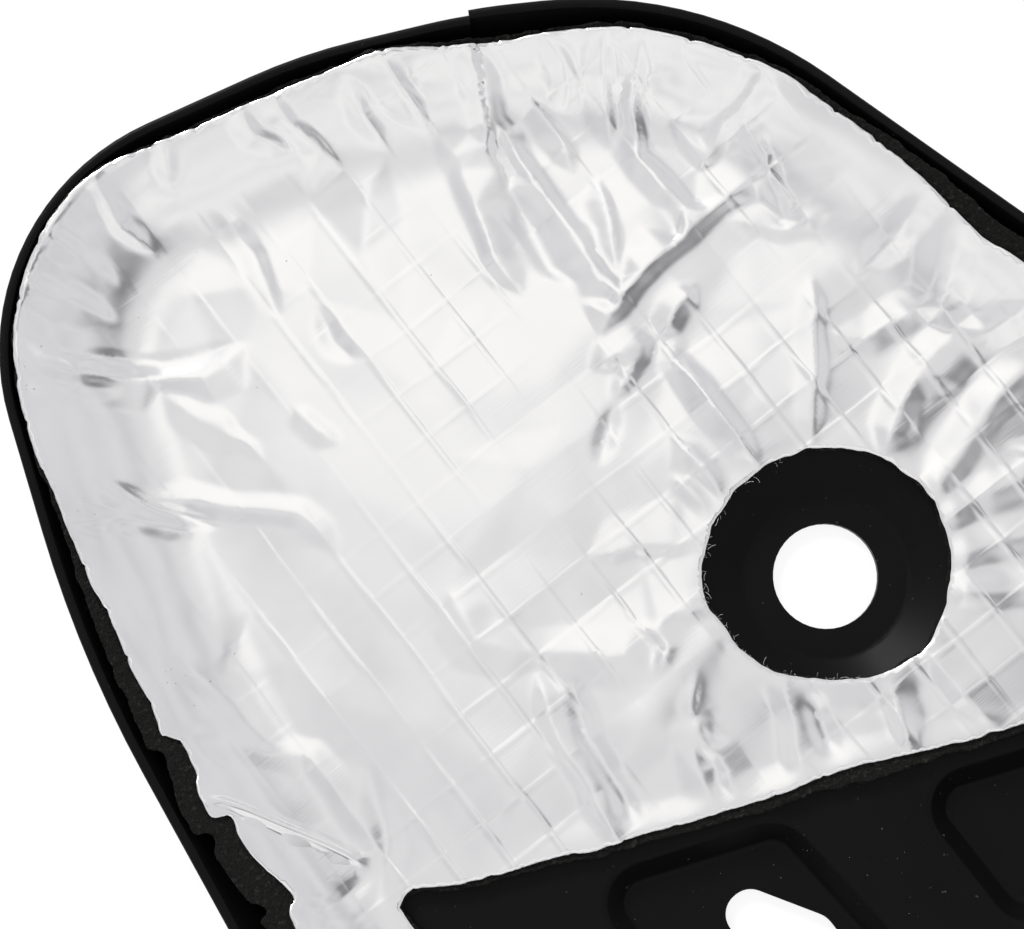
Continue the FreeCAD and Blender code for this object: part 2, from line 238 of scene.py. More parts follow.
# Camera of the photograph: its roll about the vertical and its tilt
ROLL = math.radians(37.9)
TILT = math.radians(6.0)
IMAGE_RIGHT = np.array([math.cos(ROLL), -math.sin(ROLL)])
IMAGE_UP = np.array([math.sin(ROLL), math.cos(ROLL)])
LOOKED_AT = np.array([-37.9, 58.0])
CAMERA_AT = (-69.897, 16.898, 506.780)
LENS = 85.0
SENSOR = 36.0

# Parts of the studio: each edge has the axis of its lean from the vertical, 0 for x and 1 for y, and the leans in
# degrees between which it rises
NEAR_SOFTBOX = [(0, -3.5, 0.5), (0, 13.0, 7.5), (1, -1.5, 3.5)]
FAR_SOFTBOX = [(0, 3.0, 8.0), (0, 22.0, 15.0), (1, 4.5, 10.0)]
SOFTBOX_END = (1, 38.0, 26.0)
DARK_SIDE = [(1, -6.0, -13.0), (1, -26.0, -18.0), (0, 6.0, 11.0), (0, 24.0, 17.0)]
DEEP_SIDE = [(1, -5.0, -11.0), (1, -40.0, -30.0), (0, 11.0, 14.0), (0, 21.0, 16.5)]
WINDOW = [(0, 5.0, -4.0), (0, -62.0, -50.0), (1, -5.0, -12.0), (1, -62.0, -50.0)]
LAMP_WAY = (0.1, 0.84, 0.56)
LAMP_EDGE = (9.0, 5.0)
FLOOR_HALF = 4.0
FLOOR_GAP = 0.0003


def linear(hexa):
    """An sRGB hex colour as linear RGBA."""
    values = [int(hexa[i : i + 2], 16) / 255 for i in (1, 3, 5)]
    return tuple(v / 12.92 if v <= 0.04045 else ((v + 0.055) / 1.055) ** 2.4 for v in values) + (1.0,)


def feed(tree, node, feeds):
    """Sets or links a node's inputs."""
    for key, value in feeds.items():
        if isinstance(value, bpy.types.NodeSocket):
            tree.links.new(value, node.inputs[key])
        else:
            node.inputs[key].default_value = value


def add(tree, kind, feeds=None, **settings):
    """A new node with its settings; feeds are values or links by socket."""
    made = tree.nodes.new(kind)
    for name, value in settings.items():
        setattr(made, name, value)
    feed(tree, made, feeds or {})
    return made


def calc(tree, operation, *values):
    """Output of an operation on numbers."""
    return add(tree, "ShaderNodeMath", dict(enumerate(values)), operation=operation).outputs[0]


def ranged(tree, value, start, end, low=0.0, high=1.0, ease="LINEAR"):
    """Output that goes from low to high while a value goes from start to end."""
    feeds = {"Value": value, "From Min": start, "From Max": end, "To Min": low, "To Max": high}
    return add(tree, "ShaderNodeMapRange", feeds, interpolation_type=ease).outputs[0]


def noise(tree, place, scale, detail):
    return add(tree, "ShaderNodeTexNoise", {"Vector": place, "Scale": scale, "Detail": detail}).outputs[0]


def mixed(tree, factor, one, two):
    """Output of a mix of two colours."""
    return add(tree, "ShaderNodeMix", {"Factor": factor, "A": one, "B": two}, data_type="RGBA").outputs["Result"]


def bump(tree, height, amount, distance):
    return add(tree, "ShaderNodeBump", {"Height": height, "Strength": amount, "Distance": distance}).outputs[0]


def smooth(low, high, x):
    t = np.clip((x - low) / (high - low), 0, 1)
    return t * t * (3 - 2 * t)


def rim_line(step):
    """The rim seen from above as a closed line; step moves the right shoulder out."""
    line = []
    corners = [(x + sx * step, y + sy * step, r) for x, y, r, sx, sy in RIM]
    for i, (x, y, radius) in enumerate(corners):
        before, after = corners[i - 1], corners[(i + 1) % len(corners)]
        a = math.atan2(y - before[1], x - before[0])
        b = math.atan2(after[1] - y, after[0] - x)
        turn = (b - a + math.pi) % (2 * math.pi) - math.pi
        reach = radius * math.tan(turn / 2)
        cx = x - math.cos(a) * reach - math.sin(a) * radius
        cy = y - math.sin(a) * reach + math.cos(a) * radius
        for k in range(29):
            t = a - math.pi / 2 + turn * k / 28
            line.append((cx + radius * math.cos(t), cy + radius * math.sin(t)))
    return np.array(line)


def spans(xy, size=3000):
    for start in range(0, len(xy), size):
        yield slice(start, start + size)


def inside(xy, line):
    """Which points lie inside a closed line."""
    a, b = line, np.roll(line, -1, 0)
    rise = np.where(b[:, 1] == a[:, 1], 1e-12, b[:, 1] - a[:, 1])
    found = np.zeros(len(xy), bool)
    for part in spans(xy):
        x, y = xy[part, 0][:, None], xy[part, 1][:, None]
        crossed = (a[:, 1] > y) != (b[:, 1] > y)
        before = x < (b[:, 0] - a[:, 0]) * (y - a[:, 1]) / rise + a[:, 0]
        found[part] = (crossed & before).sum(1) % 2 == 1
    return found


def away(xy, line):
    """Distance of points from a closed line."""
    a = line
    d = np.roll(line, -1, 0) - a
    long2 = np.maximum((d * d).sum(1), 1e-12)
    found = np.zeros(len(xy))
    for part in spans(xy):
        rel = xy[part][:, None] - a
        t = np.clip((rel * d).sum(2) / long2, 0, 1)
        rel -= t[..., None] * d
        found[part] = np.sqrt((rel * rel).sum(2).min(1))
    return found


RIM_LEFT = rim_line(0.0)
RIM_RIGHT = rim_line(JOGGLE)


def inset(xy):
    """How far points lie inside the rim, seen from above."""
    turned = (xy - JOGGLE_AT) @ (math.cos(JOGGLE_TURN), math.sin(JOGGLE_TURN))
    found = np.zeros(len(xy))
    for side, line in ((turned <= 0, RIM_LEFT), (turned > 0, RIM_RIGHT)):
        part = xy[side]
        found[side] = np.where(inside(part, line), 1, -1) * away(part, line)
    return found


def profile(s, low, side, lean, radius):
    """Height over the inset s of a hollow: flat at low, a rounded foot, then a leaning side up to the lip."""
    corner = side + (LIP - low) * math.tan(lean)
    run = radius * math.tan((math.pi / 2 - lean) / 2)
    foot = corner + run
    curve = low + radius - np.sqrt(np.maximum(radius**2 - np.clip(foot - s, 0, None) ** 2, 0))
    wall = LIP - (s - side) / math.tan(lean)
    return np.where(s < corner - run * math.sin(lean), wall, curve)


def tray_face(s, above):
    """Height of the face that lies above the moulded tray by a small distance."""
    side = (WALL + above) / math.cos(DRAFT)
    return np.minimum(profile(s, FLOOR + above, side, DRAFT, MARGIN_RADIUS - above), LIP - BELOW_LIP - 0.3)


def pad_face(s, below):
    """Height of the face that lies below the foil's outer face, eased over under the lip."""
    side = PAD_SIDE - below / math.cos(PAD_LEAN)
    high = profile(s, FLOOR + FOAM + FOIL - below, side, PAD_LEAN, PAD_RADIUS + below)
    return LIP - BELOW_LIP - np.log1p(np.exp(np.minimum(3 * (LIP - BELOW_LIP - high), 60))) / 3


def run_along(line):
    """Length along an open line at each of its points."""
    return np.concatenate([[0], np.cumsum(np.linalg.norm(np.diff(line, axis=0), axis=1))])


def closed_curve(points, spacing):
    """A smooth closed line through points, with even spacing."""
    p = np.array(points, float)
    before, after, last = np.roll(p, 1, 0), np.roll(p, -1, 0), np.roll(p, -2, 0)
    t = np.linspace(0, 1, 24, endpoint=False)[:, None, None]
    line = 0.5 * (
        2 * p + (after - before) * t + (2 * before - 5 * p + 4 * after - last) * t**2
        + (3 * p - before - 3 * after + last) * t**3
    )
    line = line.transpose(1, 0, 2).reshape(-1, p.shape[1])
    ring = np.vstack([line, line[:1]])
    run = run_along(ring[:, :2])
    at = np.linspace(0, run[-1], int(run[-1] / spacing), endpoint=False)
    return np.stack([np.interp(at, run, ring[:, k]) for k in range(ring.shape[1])], 1)


def outward(line):
    """Unit normals pointing out of a line that turns anticlockwise."""
    along = np.roll(line, -1, 0) - np.roll(line, 1, 0)
    along /= np.linalg.norm(along, axis=1)[:, None]
    return np.stack([along[:, 1], -along[:, 0]], 1)


def wander(count, step, rng):
    """A smooth random walk round a closed line, about one unit high, that changes every step points."""
    knots = rng.uniform(-1, 1, max(4, int(count / step)))
    at = np.arange(count) * len(knots) / count
    low = at.astype(int) % len(knots)
    t = at - at.astype(int)
    t = t * t * (3 - 2 * t)
    return knots[low] * (1 - t) + knots[(low + 1) % len(knots)] * t


def foil_line(rng):
    """Cut edge of the foil, with nicks at most threads of the scrim."""
    line = closed_curve(FOIL_EDGE, EDGE_SPACING)
    edge, band = line[:, :2], line[:, 2]
    count = len(edge)
    push = 0.14 * wander(count, 7, rng) + 0.10 * wander(count, 2.2, rng)
    near = np.abs((edge - SCRIM_AT + SCRIM_PITCH / 2) % SCRIM_PITCH - SCRIM_PITCH / 2).min(1)
    push -= 0.4 * np.clip(1 - near / 0.7, 0, 1) * (wander(count, 9, rng) > -0.2)
    return edge + outward(edge) * push[:, None], band, edge


def cutout_line(rng, grow):
    """Cut edge of the opening, grown outwards."""
    edge = closed_curve(CUTOUT, CUTOUT_SPACING)
    count = len(edge)
    push = grow + 0.16 * wander(count, 5, rng) + 0.12 * wander(count, 2, rng)
    return edge + outward(edge) * push[:, None]


def triangulated(loops, inner):
    """Triangles over the area between closed loops, with inner points; loops come first."""
    points = np.vstack(loops + [inner])
    edges, start = [], 0
    for loop in loops:
        n = len(loop)
        edges += [(start + i, start + (i + 1) % n) for i in range(n)]
        start += n
    made = delaunay_2d_cdt([Vector(p) for p in points], edges, [], 0, 1e-6)
    coords = np.array(made[0])[:, :2]
    faces = np.array(made[2])
    place = np.zeros(len(points), int)
    for new, old in enumerate(made[3]):
        place[old] = new
    on_loop = np.zeros(len(coords), bool)
    on_loop[place[:start]] = True
    doubtful = on_loop[faces].all(1)
    middle = coords[faces[doubtful]].mean(1)
    kept = inside(middle, loops[0])
    for loop in loops[1:]:
        kept &= ~inside(middle, loop)
    keep = np.ones(len(faces), bool)
    keep[doubtful] = kept
    rings, start = [], 0
    for loop in loops:
        rings.append(place[start : start + len(loop)])
        start += len(loop)
    return coords, faces[keep], rings


def clear_points(points, loops, gap):
    """Points inside the first loop and outside the others, gap away from all of them."""
    keep = inside(points, loops[0])
    for loop in loops[1:]:
        keep &= ~inside(points, loop)
    points = points[keep]
    return points[gaps(points, near_tree(np.vstack(loops))) > gap]


def lattice(step, low, high):
    x = np.arange(low[0], high[0], step)
    y = np.arange(low[1], high[1], step)
    return np.stack(np.meshgrid(x, y), -1).reshape(-1, 2)


def scrim_lattice(low, high):
    """Points packed close beside each thread of the scrim and wider between threads."""
    axes = []
    for k in range(2):
        first = math.floor((low[k] - SCRIM_AT[k]) / SCRIM_PITCH)
        last = math.ceil((high[k] - SCRIM_AT[k]) / SCRIM_PITCH)
        axes.append((SCRIM_AT[k] + SCRIM_PITCH * np.arange(first, last)[:, None] + SCRIM_TICKS).ravel())
    return np.stack(np.meshgrid(*axes), -1).reshape(-1, 2)


def field_points(low, high):
    """Points of the relief raster between two corners, and the slices they fill."""
    a = np.clip(np.floor((np.array(low) - FIELD_LOW) / FIELD_STEP).astype(int), 0, FIELD_SIZE)
    b = np.clip(np.ceil((np.array(high) - FIELD_LOW) / FIELD_STEP).astype(int) + 1, 0, FIELD_SIZE)
    x = FIELD_LOW[0] + FIELD_STEP * np.arange(a[0], b[0])
    y = FIELD_LOW[1] + FIELD_STEP * np.arange(a[1], b[1])
    return np.stack(np.meshgrid(x, y, indexing="ij"), -1), (slice(a[0], b[0]), slice(a[1], b[1]))


def blur(field, width):
    """Rounds the relief off over a width."""
    reach = int(math.ceil(2.5 * width / FIELD_STEP))
    weights = np.exp(-0.5 * (np.arange(-reach, reach + 1) * FIELD_STEP / width) ** 2)
    weights /= weights.sum()
    for axis in (0, 1):
        field = sum(w * np.roll(field, k - reach, axis) for k, w in enumerate(weights))
    return field


def whole_field():
    """All points of the relief raster."""
    return field_points(FIELD_LOW, np.array(FIELD_LOW) + FIELD_STEP * (np.array(FIELD_SIZE) - 1))[0]


def between(grid, i, j, u, v):
    """Values between the points of a grid."""
    near = grid[i, j] * (1 - u) + grid[i + 1, j] * u
    far = grid[i, j + 1] * (1 - u) + grid[i + 1, j + 1] * u
    return near * (1 - v) + far * v


def read_field(field, xy):
    """Relief at any points, between the points of the raster."""
    at = np.clip((xy - FIELD_LOW) / FIELD_STEP, 0, np.array(FIELD_SIZE) - 1.001)
    i, j = np.floor(at).astype(int).T
    u, v = (at - np.floor(at)).T
    return between(field, i, j, u, v)


def from_line(q, p):
    """Distance of points from an open line, the side they lie on, how far along it they are, and its length."""
    runs = np.linalg.norm(np.diff(p, axis=0), axis=1)
    start = run_along(p)
    best = np.full(len(q), 1e9)
    side = np.zeros(len(q))
    at = np.zeros(len(q))
    for i in range(len(runs)):
        d = (p[i + 1] - p[i]) / runs[i]
        rel = q - p[i]
        t = np.clip(rel @ d, 0, runs[i])
        gap = np.linalg.norm(rel - t[:, None] * d, axis=1)
        closer = gap < best
        best = np.where(closer, gap, best)
        side = np.where(closer, d[0] * rel[:, 1] - d[1] * rel[:, 0], side)
        at = np.where(closer, start[i] + t, at)
    return best, side, at, start[-1]


def run_out(at, whole):
    """How high a crease stands along its length: it runs out at both ends."""
    return np.clip(np.minimum(at, whole - at) / min(0.3 * whole, 8.0), 0, 1) ** 0.8


def draw_ripple(field, points, height, left, right):
    """Adds one soft ripple to the relief."""
    p = np.array(points, float)
    reach = max(left, right)
    q, window = field_points(p.min(0) - reach, p.max(0) + reach)
    gap, side, at, whole = from_line(q.reshape(-1, 2), p)
    end = run_out(at, whole)
    t = np.clip(1 - gap / (np.where(side > 0, left, right) * (0.35 + 0.65 * end)), 0, 1)
    field[window] += (height * end * t * t * (3 - 2 * t)).reshape(q.shape[:2])


def leftward(line):
    """Unit normals to the left of an open line."""
    along = np.gradient(line, axis=0)
    along /= np.linalg.norm(along, axis=1)[:, None]
    return np.stack([-along[:, 1], along[:, 0]], 1)


def crest_lines(rng):
    """The sharp creases as wandering lines: points, heights, normals to the left and runs of both flanks."""
    found = []
    for points, height, left, right in FOLDS:
        p = np.array(points, float)
        start = run_along(p)
        at = np.union1d(np.linspace(0, start[-1], max(5, int(start[-1] / 5.5) + 1)), start)
        at = at[np.concatenate([[True], np.diff(at) > 1.6])]
        line = np.stack([np.interp(at, start, p[:, k]) for k in (0, 1)], 1)
        normal = leftward(line)
        end = run_out(at, start[-1])
        line = line + normal * (0.2 * rng.normal(size=len(at)) * end)[:, None]
        found.append((line, height * end * rng.uniform(0.9, 1.1, len(at)), normal, left, right))
    return found


def net_field(points, faces, heights):
    """Relief of flat triangles between corners of given height."""
    field = np.zeros(FIELD_SIZE)
    for face in faces:
        a, b, c = points[face]
        q, window = field_points(np.minimum(np.minimum(a, b), c), np.maximum(np.maximum(a, b), c))
        area = (b[0] - a[0]) * (c[1] - a[1]) - (b[1] - a[1]) * (c[0] - a[0])
        if q.size == 0 or abs(area) < 1e-9:
            continue
        u = ((b[0] - q[..., 0]) * (c[1] - q[..., 1]) - (b[1] - q[..., 1]) * (c[0] - q[..., 0])) / area
        v = ((c[0] - q[..., 0]) * (a[1] - q[..., 1]) - (c[1] - q[..., 1]) * (a[0] - q[..., 0])) / area
        within = (u >= -1e-9) & (v >= -1e-9) & (u + v <= 1 + 1e-9)
        flat = u * heights[face[0]] + v * heights[face[1]] + (1 - u - v) * heights[face[2]]
        field[window] = np.where(within, flat, field[window])
    return field


def scattered(rng, spacing):
    """Corners spread over the whole raster at a rough spacing."""
    low = np.array(FIELD_LOW) - 2 * spacing
    high = np.array(FIELD_LOW) + FIELD_STEP * np.array(FIELD_SIZE) + 2 * spacing
    corners = lattice(spacing, low, high)
    return corners + rng.uniform(-0.42, 0.42, corners.shape) * spacing


def facets(rng, spacing):
    """Flat triangles between scattered corners of random height, as loose foil lies."""
    made = delaunay_2d_cdt([Vector(c) for c in scattered(rng, spacing)], [], [], 0, 1e-6)
    points = np.array(made[0])[:, :2]
    return net_field(points, made[2], rng.uniform(-1, 1, len(points)))


def near_tree(points):
    tree = KDTree(len(points))
    for i, p in enumerate(points):
        tree.insert((p[0], p[1], 0), i)
    tree.balance()
    return tree


def gaps(points, tree):
    """Distance of each point from the nearest one in a tree."""
    return np.array([tree.find((p[0], p[1], 0))[2] for p in points])


def crumpled_share(xy):
    """From nought on the quiet side of the pad to one on the crumpled side."""
    return smooth(-30, 30, (xy - LOOKED_AT) @ IMAGE_RIGHT)


def crease_net(rng, lines):
    """Flat facets stretched between the crests, the feet of their steep flanks and loose corners between them."""
    crests = np.vstack([line[0] for line in lines])
    heights = [np.concatenate([line[1] for line in lines])]
    edges, first = [], 0
    for line, *_ in lines:
        edges += [(first + i, first + i + 1) for i in range(len(line) - 1)]
        first += len(line)
    tree = near_tree(crests)
    corners = [crests]
    for line, _, normal, left, right in lines:
        for run, way in ((left, 1), (right, -1)):
            feet = line[1:-1] + way * normal[1:-1] * (run * rng.uniform(0.92, 1.08, (len(line) - 2, 1)))
            feet = feet[gaps(feet, tree) > 0.8 * run]
            corners.append(feet)
            heights.append(rng.uniform(-0.08, 0.0, len(feet)))
    loose = scattered(rng, LOOSE_SPACING)
    loose = loose[gaps(loose, near_tree(np.vstack(corners))) > LOOSE_CLEAR]
    margin = smooth(46, 32, inset(loose))
    swing = (0.08 + 0.40 * crumpled_share(loose)) * (1 + 1.2 * margin)
    swing += (0.22 + 0.35 * smooth(60, 120, loose[:, 1])) * margin
    corners.append(loose)
    heights.append(rng.uniform(-1, 1, len(loose)) * swing)
    given = np.vstack(corners)
    high = np.concatenate(heights)
    made = delaunay_2d_cdt([Vector(c) for c in given], edges, [], 0, 1e-6)
    points = np.array(made[0])[:, :2]
    tree = near_tree(given)
    return net_field(points, made[2], high[[tree.find((p[0], p[1], 0))[1] for p in points]])


def scrim_cells(rng):
    """The foil sags between threads: each crossing of the scrim has a height of its own."""
    cell = (whole_field() - SCRIM_AT) / SCRIM_PITCH
    low = np.floor(cell).astype(int)
    u, v = np.moveaxis(cell - low, -1, 0)
    i, j = np.moveaxis(low - low.min((0, 1)), -1, 0)
    heights = rng.uniform(-1, 1, (i.max() + 2, j.max() + 2))
    return between(heights, i, j, u, v)


def foil_field(size, lines, rng):
    """Relief of the foil above its smooth lie: the net of creases, soft ripples, then loose facets."""
    crumpled = crumpled_share(whole_field())
    field = size.crease_gain * blur(crease_net(rng, lines), 0.4)
    for points, height, left, right in RIPPLES:
        draw_ripple(field, points, size.crease_gain * height, left, right)
    field += size.crumple_gain * blur(facets(rng, FACET_SPACING), 1.4) * (0.34 + 0.40 * crumpled)
    field += size.crumple_gain * scrim_cells(rng) * (0.07 + 0.20 * crumpled)
    return field


def pleat_line():
    """Crest of the rolled fold, with its corners cut."""
    p = np.array(PLEAT, float)
    for _ in range(3):
        cut = np.stack([0.75 * p[:-1] + 0.25 * p[1:], 0.25 * p[:-1] + 0.75 * p[1:]], 1).reshape(-1, 2)
        p = np.vstack([p[:1], cut, p[-1:]])
    return p


def pleat_rise(xy):
    """Height of the rolled fold: a round bead, steeper on its lower side."""
    gap, side, at, whole = from_line(xy, pleat_line())
    t = np.clip(1 - gap / np.where(side > 0, PLEAT_ABOVE, PLEAT_BELOW), 0, 1)
    end = np.clip(at / 6.0, 0, 1) * np.clip((whole - at) / 2.5, 0, 1)
    return PLEAT_HEIGHT * end * t * t * (3 - 2 * t)


def foil_relief(field, xy, loops):
    """Relief at points, held down to the foam along the cut edges."""
    relief = read_field(field, xy) + pleat_rise(xy)
    rim = np.minimum(away(xy, loops[0][::3]), away(xy, loops[1][::3]))
    return np.where(relief < 0, relief * smooth(0.4, 7.0, rim), relief * (0.4 + 0.6 * smooth(0.0, 4.0, rim)))


def crest_points(lines):
    """Points along each crest and beside the rolled fold, so that the mesh has edges there."""
    found = []
    for p, *_ in lines:
        for a, b in zip(p, p[1:]):
            n = max(2, int(np.linalg.norm(b - a) / 0.7))
            found.append(a + (b - a) * np.linspace(0, 1, n, endpoint=False)[:, None])
    p = pleat_line()
    run = run_along(p)
    at = np.arange(0, run[-1], 0.5)
    bead = np.stack([np.interp(at, run, p[:, k]) for k in (0, 1)], 1)
    rows = [bead + leftward(bead) * gap for gap in PLEAT_ROWS]
    found = np.vstack(found)
    found = found[from_line(found, p)[0] > 3.0]
    return np.vstack([found, *rows])


def wall(above, below):
    """Faces between two rings of corners."""
    return np.column_stack([above, below, np.roll(below, -1), np.roll(above, -1)])


def mesh_piece(name, verts, faces, material, shade=True):
    mesh = bpy.data.meshes.new(name)
    mesh.from_pydata([tuple(v) for v in verts], [], [tuple(int(i) for i in f) for f in faces])
    mesh.update()
    if shade:
        mesh.polygons.foreach_set("use_smooth", [True] * len(mesh.polygons))
    mesh.materials.append(material)
    piece = bpy.data.objects.new(name, mesh)
    bpy.context.scene.collection.objects.link(piece)
    return piece


def baked(piece):
    """Turns what the piece's node tree makes into its plain mesh."""
    evaluated = piece.evaluated_get(bpy.context.evaluated_depsgraph_get())
    mesh = bpy.data.meshes.new_from_object(evaluated)
    mesh.name = piece.name
    piece.modifiers.clear()
    piece.data = mesh
    return piece


def node_tree(name, sockets):
    """A geometry tree with named inputs; returns it with its input and output nodes."""
    tree = bpy.data.node_groups.new(name, "GeometryNodeTree")
    tree.interface.new_socket("Geometry", in_out="INPUT", socket_type="NodeSocketGeometry")
    tree.interface.new_socket("Geometry", in_out="OUTPUT", socket_type="NodeSocketGeometry")
    for label, kind in sockets:
        tree.interface.new_socket(label, in_out="INPUT", socket_type="NodeSocket" + kind)
    return tree, add(tree, "NodeGroupInput").outputs, add(tree, "NodeGroupOutput")


def run_tree(piece, tree, values):
    modifier = piece.modifiers.new(tree.name, "NODES")
    modifier.node_group = tree
    for item in tree.interface.items_tree:
        if item.in_out == "INPUT" and item.name in values:
            modifier[item.identifier] = values[item.name]
    piece.update_tag()
    bpy.context.view_layer.update()
    return baked(piece)


def close_tree(tree, ends, geometry, material):
    """Realize Instances and Set Material, then the output."""
    real = add(tree, "GeometryNodeRealizeInstances", {0: geometry})
    painted = add(tree, "GeometryNodeSetMaterial", {0: real.outputs[0], "Material": material})
    tree.links.new(painted.outputs[0], ends.inputs[0])


def scrim_tree():
    """Raises the foil over the threads of its reinforcing scrim, stronger in some places than in others."""
    tree, given, ends = node_tree(
        "scrim_relief",
        [("Pitch", "Float"), ("Thread", "Float"), ("Height", "Float"), ("Offset", "Vector"),
         ("Patch", "Float"), ("Finish", "Material")],
    )
    place = add(tree, "GeometryNodeInputPosition").outputs[0]
    wave = add(tree, "ShaderNodeTexNoise", {"Vector": place, "Scale": 60.0, "Detail": 1.0}, noise_dimensions="3D")
    bent = add(tree, "ShaderNodeVectorMath", {0: wave.outputs["Color"], "Scale": 0.0012}, operation="SCALE")
    shifted = add(tree, "ShaderNodeVectorMath", {0: place, 1: given["Offset"]}, operation="SUBTRACT")
    shifted = add(tree, "ShaderNodeVectorMath", {0: shifted.outputs[0], 1: bent.outputs[0]}, operation="ADD")
    split = add(tree, "ShaderNodeSeparateXYZ", {0: shifted.outputs[0]})
    ridges = []
    for axis, rise in ((0, 1.0), (1, 0.5)):
        along = calc(tree, "FLOORED_MODULO", split.outputs[axis], given["Pitch"])
        gap = calc(tree, "MINIMUM", along, calc(tree, "SUBTRACT", given["Pitch"], along))
        ridges.append(ranged(tree, gap, 0.0, given["Thread"], rise, 0.0, "SMOOTHSTEP"))
    strong = ranged(tree, noise(tree, place, given["Patch"], 0.0), 0.4, 0.62, 0.1, 1.0)
    across = add(tree, "ShaderNodeVectorMath", {0: place, 1: (*IMAGE_RIGHT, 0.0)}, operation="DOT_PRODUCT")
    middle = float(LOOKED_AT @ IMAGE_RIGHT) * MM
    side = ranged(tree, across.outputs["Value"], middle - 0.06, middle, 0.2, 1.0)
    lift = calc(tree, "MULTIPLY", calc(tree, "MAXIMUM", *ridges), calc(tree, "MULTIPLY", strong, side))
    return push_out(tree, given, ends, calc(tree, "MULTIPLY", lift, given["Height"]))


def push_out(tree, given, ends, distance):
    """Moves the surface along its normal and closes the tree."""
    normal = add(tree, "GeometryNodeInputNormal").outputs[0]
    push = add(tree, "ShaderNodeVectorMath", {0: normal, "Scale": distance}, operation="SCALE")
    moved = add(tree, "GeometryNodeSetPosition", {"Geometry": given["Geometry"], "Offset": push.outputs[0]})
    close_tree(tree, ends, moved.outputs[0], given["Finish"])
    return tree


def pore_tree():
    """Opens the cells of the cut foam: pits along the inward normal."""
    tree, given, ends = node_tree("foam_cells", [("Cell", "Float"), ("Depth", "Float"), ("Finish", "Material")])
    place = add(tree, "GeometryNodeInputPosition").outputs[0]
    cells = add(tree, "ShaderNodeTexVoronoi", {"Vector": place, "Scale": calc(tree, "DIVIDE", 1.0, given["Cell"])})
    pit = ranged(tree, cells.outputs["Distance"], 0.1, 0.75, 1.0, 0.0)
    depth = calc(tree, "MULTIPLY", pit, given["Depth"])
    return push_out(tree, given, ends, calc(tree, "MULTIPLY", depth, -1.0))


def turned_points(tree, given, shape, spread, low, high):
    """Stands a shape on each point, turned and sized at random."""
    turn = add(tree, "FunctionNodeRandomValue", {"Min": (-spread, -spread, -math.pi), "Max": (spread, spread, math.pi),
                                                 "Seed": SEED}, data_type="FLOAT_VECTOR")
    grow = add(tree, "FunctionNodeRandomValue", {2: low, 3: high, "Seed": SEED + 1}, data_type="FLOAT")
    return add(tree, "GeometryNodeInstanceOnPoints",
               {"Points": given["Geometry"], "Instance": shape, "Rotation": turn.outputs[0], "Scale": grow.outputs[1]})


def fibre_tree():
    """A short curled fibre on each point."""
    tree, given, ends = node_tree("loose_fibres", [("Length", "Float"), ("Thickness", "Float"), ("Finish", "Material")])
    reach = add(tree, "ShaderNodeCombineXYZ", {"X": given["Length"], "Z": 0.0004})
    bow = add(tree, "ShaderNodeVectorMath", {0: reach.outputs[0], 1: (0.5, 0.0, 0.6), 2: (0.0, 0.0004, 0.0005)},
              operation="MULTIPLY_ADD")
    line = add(tree, "GeometryNodeCurveQuadraticBezier",
               {"Resolution": 5, "Start": (0, 0, 0), "Middle": bow.outputs[0], "End": reach.outputs[0]})
    ring = add(tree, "GeometryNodeCurvePrimitiveCircle", {"Resolution": 4, "Radius": given["Thickness"]})
    tube = add(tree, "GeometryNodeCurveToMesh",
               {"Curve": line.outputs[0], "Profile Curve": ring.outputs[0], "Fill Caps": True})
    made = turned_points(tree, given, tube.outputs[0], 0.25, 0.4, 1.2)
    close_tree(tree, ends, made.outputs[0], given["Finish"])
    return tree


def speck_tree():
    """A grain of dust on each point."""
    tree, given, ends = node_tree("dust_specks", [("Size", "Float"), ("Finish", "Material")])
    grain = add(tree, "GeometryNodeMeshIcoSphere", {"Radius": given["Size"], "Subdivisions": 1})
    flat = add(tree, "GeometryNodeTransform", {"Geometry": grain.outputs[0], "Scale": (1.0, 0.7, 0.35)})
    made = turned_points(tree, given, flat.outputs[0], 0.2, 0.35, 1.0)
    close_tree(tree, ends, made.outputs[0], given["Finish"])
    return tree


def new_material(name):
    material = bpy.data.materials.new(name)
    material.use_nodes = True
    tree = material.node_tree
    tree.nodes.clear()
    shader = add(tree, "ShaderNodeBsdfPrincipled")
    add(tree, "ShaderNodeOutputMaterial", {"Surface": shader.outputs[0]})
    place = add(tree, "ShaderNodeTexCoord").outputs["Object"]
    return material, tree, shader, place


def lint_material(name, one, two):
    """Fibres and dust: dull and slightly mottled, so that they read as dirt and not as paint."""
    material, tree, shader, place = new_material(name)
    mottle = noise(tree, place, 2500.0, 1.0)
    feed(tree, shader, {"Base Color": mixed(tree, mottle, linear(one), linear(two)), "Roughness": 0.95})
    return material


def foil_material(look):
    """Rolled aluminium foil over scrim: bright, half mirror, with fine rolling lines and dull handling patches."""
    material, tree, shader, place = new_material("rolled_aluminium_foil")
    dull = noise(tree, place, 55.0, 3.0)
    rolled = {"Vector": place, "Rotation": (0, 0, math.radians(-32)), "Scale": (120.0, 2600.0, 300.0)}
    lines = noise(tree, add(tree, "ShaderNodeMapping", rolled).outputs[0], 1.0, 2.0)
    feed(tree, shader, {
        "Metallic": 1.0,
        "Base Color": mixed(tree, dull, look.foil_shade, look.foil_light),
        "Roughness": ranged(tree, dull, 0.3, 0.7, look.foil_roughness - 0.04, look.foil_roughness + 0.05),
        "Normal": bump(tree, lines, 0.10, 0.00008),
    })
    return material


